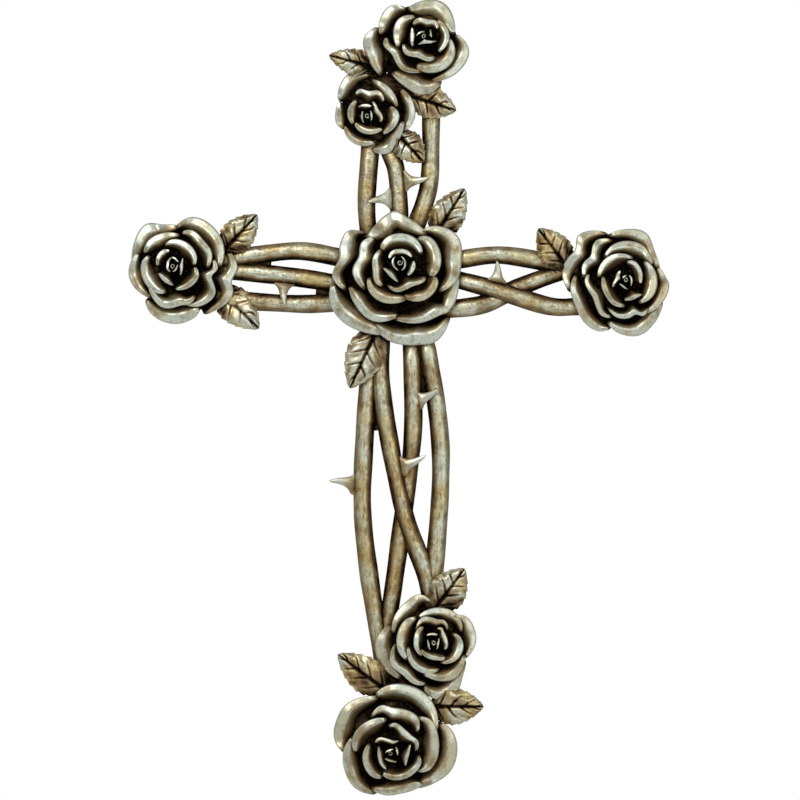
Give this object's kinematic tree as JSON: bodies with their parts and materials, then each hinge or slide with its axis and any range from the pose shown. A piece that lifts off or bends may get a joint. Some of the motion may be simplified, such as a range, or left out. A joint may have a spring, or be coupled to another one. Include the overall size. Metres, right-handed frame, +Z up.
{
  "type": "resin wall cross",
  "caption": "Openwork wall cross of woven thorny stems with full-blown roses and serrated leaves, cast in one piece with a flat back and a keyhole hanger.",
  "frame": {"origin": "the point of the flat back, on the line of balance, that touches the wall just above the keyhole in the top rose", "axes": "+X to the right as seen from the front, +Y into the wall, +Z up the long arm"},
  "size_m": [0.2302, 0.0195, 0.3395],
  "materials": {
    "antique_silver": "cast resin, painted antique silver with warm gold mottling and a near-black brown wash in the recesses, satin"
  },
  "bodies": {
    "root": {"rose_cross": "antique_silver"}
  },
  "joints": []
}
